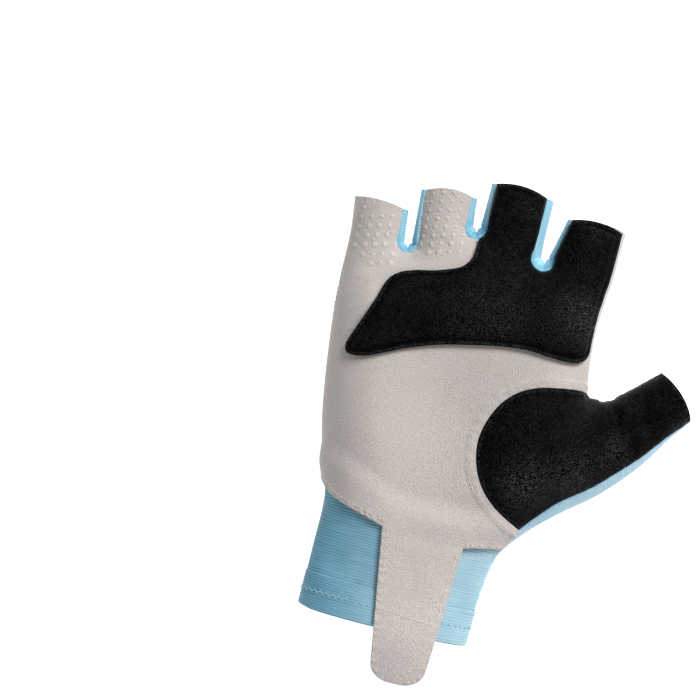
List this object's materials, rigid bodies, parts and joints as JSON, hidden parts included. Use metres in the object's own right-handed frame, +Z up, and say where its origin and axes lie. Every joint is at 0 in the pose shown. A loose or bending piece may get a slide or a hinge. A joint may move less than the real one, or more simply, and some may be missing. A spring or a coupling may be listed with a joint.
{
  "type": "fingerless fishing glove",
  "caption": "Right-hand fingerless glove with open finger and thumb tubes, a suede palm with leather pads, a knit back, a ribbed cuff and a pull tab at the wrist.",
  "frame": {"origin": "on the flat back of the glove under the middle of the palm, at the surface that the glove lies on", "axes": "+Y along the hand to the fingertips, +X across the palm to the thumb, +Z up out of the palm"},
  "size_m": [0.1407, 0.1879, 0.0321],
  "materials": {
    "blue_knit": "fine ribbed stretch knit",
    "gusset_knit": "smooth stretch knit",
    "grey_suede": "microfibre suede with a short nap",
    "black_leather": "grained synthetic leather"
  },
  "bodies": {
    "root": {"back_panel": "blue_knit", "palm_panel": "grey_suede", "thumb_panel": "black_leather", "cuff_panel": "blue_knit", "cuff_hem": "blue_knit", "gusset_little_ring": "gusset_knit", "gusset_ring_middle": "gusset_knit", "gusset_middle_index": "gusset_knit", "palm_pad": "black_leather", "finger_pull_ring": "grey_suede", "finger_pull_middle": "grey_suede"}
  },
  "joints": []
}
